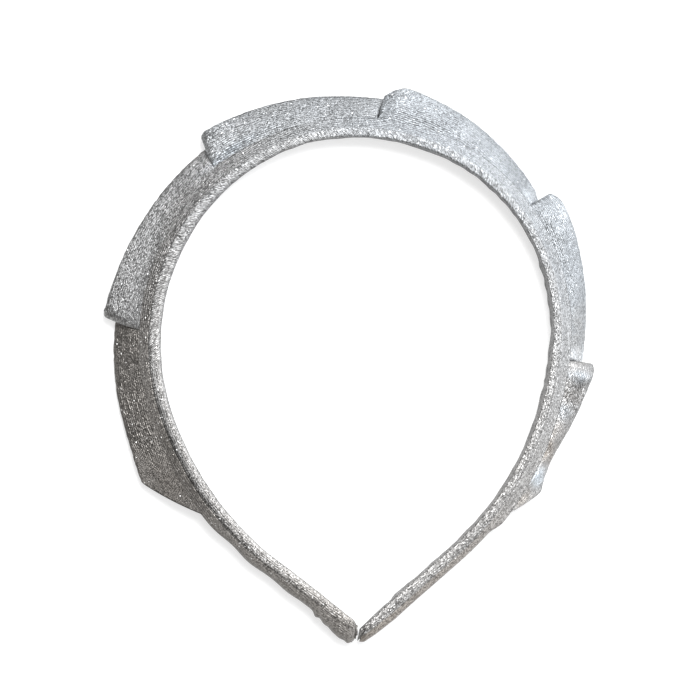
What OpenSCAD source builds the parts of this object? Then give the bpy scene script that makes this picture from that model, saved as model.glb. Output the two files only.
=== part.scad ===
// Mini crown headband: a cloth-covered hoop that lies on its side, with a strip of
// doubled knit folded into six knife pleats standing out round its outer face.
// +X right, +Y towards the top of the hoop, +Z up from the surface that it lies on.

/* [Hoop] */
// Radius of the inner face along the sides of the hoop
side_radius = 62; // [52:0.5:74]
// Opening left between the two tips of the arms
tip_gap = 2; // [1.6:0.1:6]
// Place of the opening's middle beside the hoop's middle line
tip_shift = -0.9; // [-2:0.1:2]
// How far the outer corner of the left tip runs ahead of its inner corner
left_cut = 2.3; // [0:0.1:2.6]
// How far the outer corner of the right tip runs ahead of its inner corner
right_cut = 3.2; // [0:0.1:3.4]

/* [Band] */
// Thickness of the covered band, inner face to outer face
band_thick = 3.6; // [3.3:0.1:6]
// Height of the covered band above the surface that it lies on
band_height = 7.2; // [6:0.1:10]
// Width of the rolled near edge
roll_width = 3.1; // [2.6:0.1:3.3]
// Height of the rolled near edge, down to the groove below it
roll_height = 1.3; // [0.8:0.1:1.6]
// Depth of the groove under the rolled edge
groove_depth = 0.9; // [0.2:0.1:1.2]
// Rounding of the band's edges on the side that lies down
band_round = 0.9; // [0.3:0.1:1.3]

/* [Lapped edge of the cover] */
// Thickness of the lapped edge
lap_thick = 1; // [0.8:0.1:1.4]
// Width of the lapped edge
lap_width = 1.4; // [1:0.1:2]

/* [Crown] */
// Reach of the tallest pleat beyond the band
crown_reach = 14; // [8:0.1:20]
// Thickness of the doubled knit
cloth_thick = 1.5; // [1:0.1:2]
// Air between two layers of a fold
fold_gap = 0.6; // [0.4:0.1:1.2]
// Cloth tucked under the next pleat
tuck = 6; // [4:0.5:9]

/* [Clearances] */
// Gap between a piece and the one that carries it
seat_gap = 0.25; // [0.1:0.05:0.5]
// Height of the crown's lowest layer over the surface
crown_clear = 0.2; // [0.1:0.05:0.5]

/* [Hidden] */

// Arcs of the inner face from the top down each side, before the straight end of the arm
ARC_RADIUS = 0; // share of side_radius
ARC_TURN = 1;   // degrees
left_arcs = [
    [0.935, 23.0],
    [1.053, 85.0],
    [1.524, 34.0],
];
right_arcs = [
    [1.129, 20.0],
    [0.945, 75.0],
    [1.500, 45.8],
];

// Twist of the section along the hoop: left tip is -1, top is 0, right tip is 1
// place, then outward shift of the lying side per unit of height
lean_table = [
    [-1.00, 0.48],
    [-0.93, 0.28],
    [-0.80, 0.14],
    [-0.25, 0.10],
    [ 0.00, -0.02],
    [ 0.25, 0.10],
    [ 0.60, 0.14],
    [ 0.93, 0.10],
    [ 1.00, 0.24],
];

// Pleats in order from the left end of the crown to the right end
PLEAT_AT = 0;    // place of the fold that shows, as a share of the half hoop
PLEAT_FROM = 1;  // reach at that fold, share of crown_reach
PLEAT_TO = 2;    // reach where it goes under the next pleat
PLEAT_SLANT = 3; // how far the outer end of the fold runs ahead, per unit of reach
PLEAT_ROUND = 4; // reach lost at the rounded corner of the fold, share of its reach
PLEAT_LIFT = 5;  // height of the cloth at the fold, 0 lowest layer, 1 top layer
PLEAT_BOW = 6;   // power by which the reach falls along the pleat, over 1 hollow, under 1 full
pleats = [
    [-0.698, 0.82, 0.63, 1.65, 0.00, 0.55, 1.5],
    [-0.453, 0.92, 0.61, 0.29, 0.02, 1.00, 2.0],
    [-0.207, 0.99, 0.67, 0.33, 0.02, 1.00, 2.0],
    [ 0.032, 0.98, 0.50, 0.25, 0.13, 1.00, 1.0],
    [ 0.278, 0.88, 0.54, 0.12, 0.10, 1.00, 1.5],
    [ 0.498, 0.81, 0.43, 0.00, 0.00, 1.00, 1.4],
];
// Cut end of the crown: place, reach, slant and height, as in the table of pleats
END_AT = 0;
END_REACH = 1;
END_SLANT = 2;
END_LIFT = 3;
crown_end = [0.723, 0.56, -2.05, 0.25];

// Width of the slope from the crown's pressed root up to its full height
// place, share of the half hoop, then width, share of crown_reach
slope_table = [
    [-1.000, 0.11],
    [-0.220, 0.11],
    [-0.195, 0.23],
    [-0.140, 0.11],
    [ 1.000, 0.11],
];

// Dips pressed into the top of the pleats
DIP_AT = 0;    // place, share of the half hoop
DIP_LONG = 1;  // half length, share of crown_reach
DIP_DEEP = 2;  // depth, share of cloth_thick
dips = [
    [-0.580, 0.45, 0.35],
    [-0.330, 0.45, 0.40],
    [-0.140, 0.35, 0.70],
    [-0.047, 0.35, 0.50],
    [ 0.138, 0.30, 0.60],
    [ 0.195, 0.25, 0.50],
    [ 0.390, 0.35, 0.55],
    [ 0.542, 0.30, 1.10],
    [ 0.637, 0.35, 0.60],
];

// Ends of the arms: distance from the tip as a share of band_height, then the width and
// height of the section there, as shares; the left end is blunt, the right one pointed
TIP_BACK = 0;
TIP_WIDE = 1;
TIP_HIGH = 2;
left_tip = [
    [0.00, 0.72, 0.80],
    [0.08, 0.92, 0.93],
    [0.25, 1.02, 1.00],
    [1.30, 1.06, 1.00],
    [1.60, 1.00, 1.00],
];
right_tip = [
    [0.00, 0.42, 0.78],
    [0.12, 0.58, 0.90],
    [0.60, 0.82, 0.98],
    [1.40, 1.00, 1.00],
];

// Fineness of the meshes
ring_step = 4.2;     // spacing of the sections along the band
arc_steps = 6;       // sides of a rounded edge
fold_steps = 5;      // sections round one fold of cloth
pleat_steps = 13;    // sections along a pleat

// Walks along the arcs of one side: a state is [x, y, degrees turned from +X, clockwise]
function arcs_of(side) = side < 0 ? left_arcs : right_arcs;
function arc_radius(side, i) = arcs_of(side)[i][ARC_RADIUS] * side_radius;
function arc_length(side, i) = arc_radius(side, i) * arcs_of(side)[i][ARC_TURN] * PI / 180;
function turned(p, r, far) =
    let (a = p[2], b = a + far / r * 180 / PI)
    [p[0] + r * (sin(b) - sin(a)), p[1] + r * (cos(b) - cos(a)), b];
function walk(side, far, p = [0, 0, 0], i = 0) =
    i == len(arcs_of(side)) ? [p[0] + far * cos(p[2]), p[1] - far * sin(p[2]), p[2]]
    : far <= arc_length(side, i) ? turned(p, arc_radius(side, i), far)
    : walk(side, far - arc_length(side, i), turned(p, arc_radius(side, i), arc_length(side, i)), i + 1);

// Length of one side from the top to its tip, at the inner face
function arcs_length(side, i = 0) =
    i == len(arcs_of(side)) ? 0 : arc_length(side, i) + arcs_length(side, i + 1);
function side_length(side) =
    let (end = walk(side, arcs_length(side)), tip = tip_gap / 2 + side * tip_shift)
    arcs_length(side) + (end[0] - tip) / -cos(end[2]);
half_left = side_length(-1);
half_right = side_length(1);
function side_of(place) = place < 0 ? -1 : 1;
function half_hoop(place) = place < 0 ? half_left : half_right;
function along_at(share) = share * half_hoop(share);
function share_at(along) = along / half_hoop(along);

// Point of the hoop's frame: length along from the top, distance out of the inner face, height
function hoop_point(along, out, up) =
    let (
        side = side_of(along),
        p = walk(side, abs(along)),
        lean = lookup(share_at(along), lean_table),
        n = out + lean * (band_height - up)
    )
    [side * (p[0] + n * sin(p[2])), p[1] + n * cos(p[2]), up];

function mix(a, b, t) = a + (b - a) * t;
function ease(t) = (1 - cos(180 * min(max(t, 0), 1))) / 2;
function arc_points(cx, cz, rx, rz, from, to, steps) =
    [for (i = [0:steps]) let (a = mix(from, to, i / steps)) [cx + rx * cos(a), cz + rz * sin(a)]];

// Faces of a tube of closed rings, with both ends closed by pairing the ring's two sides
function quad(a, b, c, d) = [[a, b, c], [a, c, d]];
function tube_faces(rings, ring) = [
    for (r = [0:rings - 2], j = [0:ring - 1])
        let (a = r * ring + j, b = r * ring + (j + 1) % ring)
        each quad(a, b, b + ring, a + ring),
    for (j = [0:ring / 2 - 2])
        let (k = ring - 1 - j, z = (rings - 1) * ring)
        each concat(quad(j, k, k - 1, j + 1), quad(z + j, z + j + 1, z + k - 1, z + k)),
];

// Band: rolled near edge, groove and a flat-sided body, as [distance out, height] round the section
groove_top = band_height - roll_height;
body_top = groove_top - groove_depth / 2;
band_section = concat(
    arc_points(band_round, band_round, band_round, band_round, 270, 180, 2),
    [[0, body_top]],
    arc_points(roll_width / 2, groove_top, roll_width / 2, roll_height, 180, 0, arc_steps),
    [[roll_width - groove_depth, body_top]],
    arc_points(band_thick - groove_depth / 2, body_top - groove_depth, groove_depth / 2, groove_depth / 2,
        90, 0, 2),
    arc_points(band_thick - band_round, band_round, band_round, band_round, 0, -90, 2)
);

// Rows of a tip's table, turned into lookups by distance from the tip
function tip_share(table, column, back) =
    lookup(back / band_height, [for (row = table) [row[TIP_BACK], row[column]]]);
function end_table(along) = along < 0 ? left_tip : right_tip;
function cut_length(along, out) =
    (along < 0 ? left_cut : right_cut) * out / band_thick
    * max(0, 1 - (half_hoop(along) - abs(along)) / band_height / 2);

function banded_point(along, out, up) =
    let (
        back = half_hoop(along) - abs(along),
        wide = tip_share(end_table(along), TIP_WIDE, back),
        high = tip_share(end_table(along), TIP_HIGH, back)
    )
    hoop_point(along + side_of(along) * cut_length(along, out), out * wide, up * high);

// Places of the sections: close together at the tips, even between them
left_places = [for (row = left_tip) row[TIP_BACK] * band_height - half_left];
right_places = [for (i = [len(right_tip) - 1:-1:0]) half_right - right_tip[i][TIP_BACK] * band_height];
even_from = left_places[len(left_places) - 1];
even_to = right_places[0];
even_count = ceil((even_to - even_from) / ring_step);
band_places = concat(
    left_places,
    [for (i = [1:even_count - 1]) mix(even_from, even_to, i / even_count)],
    right_places
);

// Lapped edge: a thin strip on the outer face, just under the groove
lap_top = body_top - groove_depth / 2;
lap_low = lap_top - lap_width;
lap_in = band_thick + seat_gap / 2;
lap_round = lap_thick / 2;
lap_section = concat(
    [[lap_in, lap_low + lap_round / 2], [lap_in, lap_top - lap_round / 2]],
    arc_points(lap_in + lap_thick - lap_round, lap_top - lap_round, lap_round, lap_round, 90, 0, 2),
    arc_points(lap_in + lap_thick - lap_round, lap_low + lap_round, lap_round, lap_round, 0, -90, 2)
);

// Crown: heights of the lowest, middle and top layer of a fold, at the middle of the cloth
fold_radius = (cloth_thick + fold_gap) / 2;
low_layer = crown_clear + cloth_thick / 2;
top_layer = low_layer + 4 * fold_radius;
crown_root = band_thick + seat_gap;
root_width = lap_thick + seat_gap;
root_share = (lap_low - seat_gap - crown_clear) / (top_layer + cloth_thick / 2 - crown_clear);

function pleat_place(k) = along_at(k < len(pleats) ? pleats[k][PLEAT_AT] : crown_end[END_AT]);
function lip_centre(k) = pleat_place(k) + cloth_thick / 2 + fold_radius;
function lifted(share) = mix(low_layer, top_layer, share);
function dip_at(along) =
    cloth_thick * max([for (d = dips)
        let (t = (along - along_at(d[DIP_AT])) / (d[DIP_LONG] * crown_reach))
        d[DIP_DEEP] * exp(-t * t)]);

// Share of the reach that is left by the rounded corner of pleat k
round_length = 0.4 * crown_reach;
function rounded(k, along) =
    1 - pleats[k][PLEAT_ROUND] * (1 - ease((along - pleat_place(k)) / round_length));

// Rise of the root over its place in the pressed stack, where one layer of cloth is alone
function root_rise(height, hold) = hold * root_share * (top_layer - height);

// A station of the cloth is [length along, height, reach, slant, rise of the root]
STATION_REACH = 2;
STATION_SLANT = 3;
STATION_RISE = 4;

// The visible run of pleat k sinks from its fold and ends under the next pleat
function run_stations(k) =
    let (
        row = pleats[k],
        next = pleats[k + 1],
        from = k == 0 ? pleat_place(0) : lip_centre(k),
        under = pleat_place(k + 1) - fold_radius,
        to = lip_centre(k + 1) + tuck
    )
    [for (i = [0:pleat_steps])
        let (
            t = i / pleat_steps,
            along = mix(from, to, t),
            sunk = min(1, (along - from) / (under - from)),
            fade = ease(sunk * 6) * ease((1 - sunk) * 6),
            height = mix(lifted(row[PLEAT_LIFT]), low_layer, ease(sunk)) - dip_at(along) * fade * (1 - sunk)
        )
        [
            along,
            height,
            crown_reach * rounded(k, along) * mix(row[PLEAT_TO], row[PLEAT_FROM], pow(1 - sunk, row[PLEAT_BOW])),
            mix(row[PLEAT_SLANT], next[PLEAT_SLANT], ease(k == 0 ? sunk * 2.2 : sunk)),
            root_rise(height, ease((1 - sunk) * 4))
        ]];

// The last pleat has nothing over it and ends in the crown's cut end
function last_stations(k) =
    let (row = pleats[k], from = lip_centre(k), to = pleat_place(k + 1))
    [for (i = [0:pleat_steps])
        let (
            t = i / pleat_steps,
            along = mix(from, to, t),
            flare = pow(max(0, (t - 0.66) / 0.34), 2),
            height = lifted(mix(row[PLEAT_LIFT], crown_end[END_LIFT], ease(t))) - dip_at(along) * ease(t * 6)
        )
        [
            along,
            height,
            crown_reach * rounded(k, along)
                * (mix(row[PLEAT_TO], row[PLEAT_FROM], pow(max(0, 1 - t / 0.66), row[PLEAT_BOW]))
                    + (crown_end[END_REACH] - row[PLEAT_TO]) * flare),
            mix(row[PLEAT_SLANT], crown_end[END_SLANT], ease((t - 0.35) / 0.65)),
            root_rise(height, 1)
        ]];

// One fold of the cloth: half a turn from one layer up to the next, at the far end or at the lip
function fold_stations(k, far) =
    let (
        centre = lip_centre(k + 1) + (far ? tuck : 0),
        height = low_layer + (far ? 1 : 3) * fold_radius,
        share = far ? pleats[k][PLEAT_TO] : pleats[k + 1][PLEAT_FROM],
        side = far ? 1 : -1
    )
    [for (i = [1:fold_steps - 1])
        let (a = -90 + 180 * i / fold_steps, along = centre + side * fold_radius * cos(a))
        [
            along,
            height + fold_radius * sin(a),
            crown_reach * rounded(k + 1, along) * share,
            pleats[k + 1][PLEAT_SLANT],
            0
        ]];

// The layer between the two folds runs back towards the lip
function back_stations(k) =
    [for (t = [0, 0.5, 1])
        let (along = lip_centre(k + 1) + tuck * (1 - t))
        [
            along,
            low_layer + 2 * fold_radius,
            crown_reach * rounded(k + 1, along) * mix(pleats[k][PLEAT_TO], pleats[k + 1][PLEAT_FROM], t),
            pleats[k + 1][PLEAT_SLANT],
            0
        ]];

last_pleat = len(pleats) - 1;
stations = concat(
    [for (k = [0:last_pleat - 1]) each concat(
        run_stations(k), fold_stations(k, true), back_stations(k), fold_stations(k, false))],
    last_stations(last_pleat)
);

// Height share across the cloth: pressed flat under the lapped edge, full at the ridge,
// falling to the free edge
ACROSS_FAR = 0;   // share of the reach that lies beyond the ridge
ACROSS_HIGH = 1;  // share of the height
ACROSS_THICK = 2; // share of the thickness
across_table = [
    [0.00, 1.00, 1.00],
    [0.30, 0.95, 1.00],
    [0.65, 0.86, 1.00],
    [0.93, 0.78, 0.95],
    [1.00, 0.76, 0.45],
];
// Rows of [distance out, height share, thickness share, share of the root's rise]
function across(reach, ridge) = concat(
    [[0, root_share, 1, 1], [root_width, root_share, 1, 1]],
    [for (row = across_table)
        [mix(ridge, reach, row[ACROSS_FAR]), row[ACROSS_HIGH], row[ACROSS_THICK], 1 - row[ACROSS_FAR]]]
);

function station_normal(i) =
    let (
        a = stations[max(i - 1, 0)],
        b = stations[min(i + 1, len(stations) - 1)],
        dx = b[0] - a[0],
        dz = b[1] - a[1]
    )
    [-dz, dx] / norm([dx, dz]);

function crown_ring(i) =
    let (
        p = stations[i],
        n = station_normal(i) * cloth_thick / 2,
        ridge = root_width + crown_reach * lookup(share_at(p[0]), slope_table),
        rows = across(p[STATION_REACH], ridge),
        upper = [for (side = [1, -1])
            [for (row = rows)
                let (
                    ahead = p[STATION_SLANT] * (row[0] - p[STATION_REACH] / 2),
                    up = p[1] + side * n[1] * row[2]
                )
                hoop_point(p[0] + side * n[0] * row[2] + ahead, crown_root + row[0],
                    mix(crown_clear, up, row[1]) + p[STATION_RISE] * row[3])]]
    )
    concat([for (j = [len(rows) - 1:-1:0]) upper[1][j]], upper[0]);

band_raw = [for (along = band_places, q = band_section) banded_point(along, q[0], q[1])];
lap_raw = [for (along = band_places, q = lap_section) banded_point(along, q[0], q[1])];
crown_raw = [for (i = [0:len(stations) - 1]) each crown_ring(i)];

// The origin is under the middle of the whole object's box
all_x = [for (p = concat(band_raw, lap_raw, crown_raw)) p[0]];
all_y = [for (p = concat(band_raw, lap_raw, crown_raw)) p[1]];
middle = [(min(all_x) + max(all_x)) / 2, (min(all_y) + max(all_y)) / 2, 0];

module swept(raw, ring) {
    polyhedron(points = [for (p = raw) p - middle], faces = tube_faces(len(raw) / ring, ring));
}

// Hoop in its knitted cover
module band() {
    color([0.68, 0.68, 0.70]) swept(band_raw, len(band_section));
}

// Lapped edge of the cover along the outer face
module cover_lap() {
    color([0.56, 0.55, 0.56]) swept(lap_raw, len(lap_section));
}

// Pleated strip of doubled knit
module crown() {
    color([0.74, 0.76, 0.80]) swept(crown_raw, 2 * (len(across_table) + 2));
}

band();
cover_lap();
crown();
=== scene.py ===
"""Mini crown headband: a knit-covered head hoop lying on its side, with a strip of doubled
glitter knit folded into six knife pleats round its outer face. Lengths are in millimetres
until a mesh is made, and every mesh is written in metres."""

import bpy
import numpy as np
from mathutils import Matrix


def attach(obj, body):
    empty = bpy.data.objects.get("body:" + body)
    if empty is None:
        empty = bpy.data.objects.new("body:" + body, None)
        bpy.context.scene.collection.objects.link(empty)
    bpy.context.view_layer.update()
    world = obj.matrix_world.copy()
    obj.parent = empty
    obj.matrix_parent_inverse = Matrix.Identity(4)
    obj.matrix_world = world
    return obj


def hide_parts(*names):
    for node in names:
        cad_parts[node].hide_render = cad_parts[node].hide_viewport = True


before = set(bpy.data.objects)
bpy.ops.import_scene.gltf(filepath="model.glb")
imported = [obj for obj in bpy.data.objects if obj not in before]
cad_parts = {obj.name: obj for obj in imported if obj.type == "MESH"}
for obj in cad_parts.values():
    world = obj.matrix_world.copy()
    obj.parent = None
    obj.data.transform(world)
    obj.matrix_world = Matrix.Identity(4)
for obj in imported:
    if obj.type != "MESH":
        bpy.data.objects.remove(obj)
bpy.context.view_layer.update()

# The hoop's line

SIDE_RADIUS = 62.0  # the arcs of both sides are shares of it
TIP_GAP = 2.0  # between the tips
TIP_SHIFT = -0.9  # of the gap's middle to the right
BAND_THICK = 3.6
BAND_HEIGHT = 7.2
BAND_ROUND = 0.9  # radius of the lower edges
ROLL_WIDTH = 3.1
ROLL_HEIGHT = 1.3
GROOVE_DEPTH = 0.9
LAP_WIDTH = 1.4
SEAT_GAP = 0.25  # between the band and the crown's root
CROWN_CLEAR = 0.2  # under the crown's lowest layer
CROWN_REACH = 14.0  # of the tallest pleat
CLOTH_THICK = 1.5
FOLD_GAP = 0.6  # between two layers of a fold
TUCK = 6.0  # of each pleat under the next one
LEFT_CUT = 2.3  # how far the outer side runs ahead of the inner one at the left tip
RIGHT_CUT = 2.9  # the same at the right tip
MIDDLE = np.array([-0.789719, -70.5234])  # of the whole box, from the top of the inner face

# share of the side radius, degrees turned
LEFT_ARCS = np.array([[0.935, 23.0], [1.053, 85.0], [1.524, 34.0]])
RIGHT_ARCS = np.array([[1.129, 20.0], [0.945, 75.0], [1.500, 45.8]])
# place along the hoop, outward shift of the lying side per unit of height
LEAN = np.array([
    [-1.00, 0.48],
    [-0.93, 0.21],
    [-0.80, 0.14],
    [-0.25, 0.10],
    [0.00, -0.02],
    [0.25, 0.10],
    [0.60, 0.14],
    [0.93, 0.10],
    [1.00, 0.24],
])


def ease(t):
    """Half a cosine wave from 0 to 1, held at both ends."""
    return (1 - np.cos(np.pi * np.clip(t, 0, 1))) / 2


def mix(a, b, t):
    """Straight blend from a to b."""
    return a + (b - a) * t


def table_at(table, at, column=1):
    """Value of a table's column at a place, straight between its rows, whose first column is the place."""
    return np.interp(at, table[:, 0], table[:, column])


def arcs_walk(arcs, far):
    """Point and heading after going far along a chain of arcs, each tangent to the last, then straight."""
    far = np.asarray(far, float)
    x, y, a = np.zeros_like(far), np.zeros_like(far), np.zeros_like(far)
    left = far.copy()
    for share, turn in arcs:
        r = share * SIDE_RADIUS
        step = np.clip(left, 0, r * np.radians(turn))
        b = a + step / r
        x, y, a = x + r * (np.sin(b) - np.sin(a)), y + r * (np.cos(b) - np.cos(a)), b
        left = left - step
    return x + left * np.cos(a), y - left * np.sin(a), a


def side_length(arcs, side):
    """Length of one side, where its straight end comes within half the gap of the middle."""
    total = sum(share * SIDE_RADIUS * np.radians(turn) for share, turn in arcs)
    x, _, a = arcs_walk(arcs, total)
    return float(total + (x - (TIP_GAP / 2 + side * TIP_SHIFT)) / -np.cos(a))


HALF_LEFT = side_length(LEFT_ARCS, -1)
HALF_RIGHT = side_length(RIGHT_ARCS, 1)


def share_of(along):
    """Place along the hoop: -1 at the left tip, 0 at the top, 1 at the right tip."""
    return np.where(along < 0, along / HALF_LEFT, along / HALF_RIGHT)


def along_at(share):
    """Length along the hoop at a place."""
    return share * (HALF_LEFT if share < 0 else HALF_RIGHT)


def hoop_point(along, out, up):
    """Point at a length along the inner face, a distance out of it and a height, leaned as the band is."""
    along, out, up = np.broadcast_arrays(along, out, up)
    left = arcs_walk(LEFT_ARCS, np.maximum(-along, 0))
    right = arcs_walk(RIGHT_ARCS, np.maximum(along, 0))
    x, y, a = (np.where(along < 0, p, q) for p, q in zip(left, right))
    n = out + table_at(LEAN, share_of(along)) * (BAND_HEIGHT - up)
    side = np.where(along < 0, -1.0, 1.0)
    return np.stack([side * (x + n * np.sin(a)) - MIDDLE[0], y + n * np.cos(a) - MIDDLE[1], up], -1)


LATTICE = 256  # points on each side of the random fields, which repeat after them


def soft_noise(u, v, size, seed):
    """Smooth random field from -1 to 1: random values on a square lattice, eased between its corners."""
    values = np.random.default_rng(seed).uniform(-1, 1, (LATTICE, LATTICE))
    p, q = u / size, v / size
    i, j = np.floor(p).astype(int), np.floor(q).astype(int)
    s, t = ease(p - i), ease(q - j)
    near, far = (mix(values[i % LATTICE, row % LATTICE], values[(i + 1) % LATTICE, row % LATTICE], s)
                 for row in (j, j + 1))
    return mix(near, far, t)


def bell(t):
    """Bell curve of height 1."""
    return np.exp(-np.square(t))


def shades(at, table):
    """Colour and contrast at each place from rows of place, level, warmth and contrast: warmth raises red
    and lowers blue. The levels and warmths are painted light, shade and tint of reflected light."""
    level, warm, contrast = (table_at(table, at, c) for c in (1, 2, 3))
    return np.stack([level * (1 + warm / 2), level, level * (1 - warm / 2), contrast], -1)


# Meshes


def ring_normals(p):
    """Outward normal at each point of a grid of closed rings: the cross product of its two directions."""
    du = np.gradient(p, axis=0)
    dv = np.roll(p, -1, 1) - np.roll(p, 1, 1)
    n = np.cross(du, dv)
    return n / np.maximum(np.linalg.norm(n, axis=-1, keepdims=True), 1e-9)


WALL_CONTRAST = 0.9  # of the cloth on upright walls, as a factor
FACING_GAIN = 1.15  # a normal whose upward part is over 1 / 1.15 counts as facing up
FACING_POWER = 1.5


def tube_quads(count, ring):
    """Quads between the rings of a tube, then both its ends, closed by pairing the ring's two sides."""
    i, j = np.meshgrid(np.arange(count - 1), np.arange(ring), indexing="ij")
    k = (j + 1) % ring
    sides = [i * ring + j, i * ring + k, (i + 1) * ring + k, (i + 1) * ring + j]
    c = np.arange(ring // 2 - 1)
    near = np.stack([c, ring - 1 - c, ring - 2 - c, c + 1], -1)
    far = (count - 1) * ring + near[:, ::-1]
    return np.concatenate([np.stack(sides, -1).reshape(-1, 4), near, far])


def turned_out(verts, quads):
    """The quads, turned round if the volume they enclose, the sum of their signed pyramids, is negative."""
    a, b, c, d = (verts[quads[:, i]] for i in range(4))
    volume = (np.cross(a, b) * c).sum() + (np.cross(a, c) * d).sum()
    return quads[:, ::-1] if volume < 0 else quads


def cloth_map(rings, along, origin, quads):
    """Map of the cloth in centimetres for each corner of the quads: the length along the piece, and the
    length round its section from the point numbered origin. A ring's last quads run on past its end."""
    count, ring = rings.shape[:2]
    step = np.linalg.norm(np.roll(rings, -1, 1) - rings, axis=-1)
    way = np.concatenate([np.zeros((count, 1)), np.cumsum(step, 1)], 1)
    way -= way[:, origin][:, None]
    u, v = np.repeat(along, ring)[quads], way[:, :ring].ravel()[quads]
    first = quads % ring == 0
    last = (quads % ring == ring - 1).any(1) & first.any(1)
    v = np.where(last[:, None] & first, way[quads // ring, ring], v)
    return np.stack([u, v], -1) / 10


def ring_mesh(name, rings, along, origin, shade, slot, material, wall=0.62):
    """Closed tube through a grid of rings. Its map Cloth is cloth_map's, and its attribute Shade is the
    colour and contrast of the cloth, with painted shade that makes it darker by the factor wall where the
    surface stands upright."""
    count, ring = rings.shape[:2]
    verts = rings.reshape(-1, 3) / 1000
    quads = turned_out(verts, tube_quads(count, ring))
    mesh = bpy.data.meshes.new(name)
    mesh.from_pydata(verts, [], quads.tolist())
    layer = mesh.uv_layers.new(name="Cloth")
    layer.data.foreach_set("uv", cloth_map(rings, along, origin, quads).astype(np.float32).ravel())
    tint = mesh.attributes.new("Shade", "FLOAT_COLOR", "POINT")
    # Painted shade on upright walls: colour darker by the factor wall, contrast lower by WALL_CONTRAST
    facing = np.clip(np.abs(ring_normals(rings)[..., 2:]) * FACING_GAIN, 0, 1) ** FACING_POWER
    upright = np.concatenate([mix(wall, 1, facing).repeat(3, -1), mix(WALL_CONTRAST, 1, facing)], -1)
    tint.data.foreach_set("color", (shade * upright).astype(np.float32).ravel())
    mesh.shade_smooth()
    obj = bpy.data.objects.new(name, mesh)
    bpy.context.scene.collection.objects.link(obj)
    obj.data.materials.append(material)
    return obj


def resampled(points, count):
    """A closed outline of [out, up] spaced evenly into count points."""
    p = np.asarray(points, float)
    loop = np.concatenate([p, p[:1]])
    way = np.concatenate([[0], np.cumsum(np.linalg.norm(np.diff(loop, axis=0), axis=1))])
    at = np.linspace(0, way[-1], count, endpoint=False)
    return np.stack([np.interp(at, way, loop[:, 0]), np.interp(at, way, loop[:, 1])], -1)


def arc(cx, cz, rx, rz, start, stop, count=16):
    """Points on part of an ellipse, angles in degrees."""
    a = np.radians(np.linspace(start, stop, count))
    return np.stack([cx + rx * np.cos(a), cz + rz * np.sin(a)], -1)


# Shader maths


class Socket:
    """A node's output, or a number, in expressions: each operator adds one Math node."""

    def __init__(self, tree, socket):
        self.tree, self.socket = tree, socket

    def math(self, operation, other=None, swap=False):
        node = self.tree.nodes.new("ShaderNodeMath")
        node.operation = operation
        pair = [self, other][::-1] if swap else [self, other]
        for slot, value in zip(node.inputs, pair):
            if isinstance(value, Socket):
                self.tree.links.new(value.socket, slot)
            elif value is not None:
                slot.default_value = value
        return Socket(self.tree, node.outputs[0])

    def __add__(self, other):
        return self.math("ADD", other)

    def __sub__(self, other):
        return self.math("SUBTRACT", other)

    def __rsub__(self, other):
        return self.math("SUBTRACT", other, True)

    def __mul__(self, other):
        return self.math("MULTIPLY", other)

    def __truediv__(self, other):
        return self.math("DIVIDE", other)

    def __pow__(self, other):
        return self.math("POWER", other)

    def __gt__(self, other):
        return self.math("GREATER_THAN", other)

    def sin(self):
        return self.math("SINE")

    def floor(self):
        return self.math("FLOOR")

    def fraction(self):
        return self.math("FRACT")

    def clamp(self):
        return self.math("MAXIMUM", 0.0).math("MINIMUM", 1.0)

    __radd__, __rmul__ = __add__, __mul__


class Finish:
    """A material and its nodes."""

    def __init__(self, name):
        self.material = bpy.data.materials.new(name)
        self.material.use_nodes = True
        self.tree = self.material.node_tree
        self.tree.nodes.clear()

    def node(self, kind, settings=None, **values):
        """One node of a type: its settings, then the values or links of its sockets by name or number."""
        made = self.tree.nodes.new(kind)
        for key, value in (settings or {}).items():
            setattr(made, key, value)
        for key, value in values.items():
            slot = made.inputs[int(key[1:]) if key[:1] == "_" else key.replace("_", " ")]
            if isinstance(value, Socket):
                self.tree.links.new(value.socket, slot)
            else:
                slot.default_value = value
        return made

    def out(self, node, which=0):
        """A node's output, for expressions."""
        return Socket(self.tree, node.outputs[which])

    def noise(self, place, scale, detail):
        """Smooth random value of about 0 to 1 at a place."""
        settings = {"noise_dimensions": "3D"}
        return self.out(self.node("ShaderNodeTexNoise", settings, Vector=place, Scale=scale, Detail=detail))

    def vector_math(self, operation, a, b=None, scale=None):
        """A Vector Math node's result."""
        values = {"_0": a, "_1": b, "Scale": scale}
        given = {key: value for key, value in values.items() if value is not None}
        return self.out(self.node("ShaderNodeVectorMath", {"operation": operation}, **given))

    def colour_mix(self, a, b, factor, blend="MIX"):
        """Colour a blended with colour b by a factor."""
        node = self.node("ShaderNodeMix", {"data_type": "RGBA", "blend_type": blend}, _0=factor, _6=a, _7=b)
        return self.out(node, 2)


def grey(value, warm=0.0):
    """Opaque colour of one brightness; warm shifts it from blue towards red."""
    return (value * (1 + warm), value, value * (1 - warm), 1.0)


TURN = 6.2832
TURNED_ALONG = (1.1, 0.7)  # how the wales of a turned stretch count the lengths along and across the cloth
TURNED_ACROSS = 0.8


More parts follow.
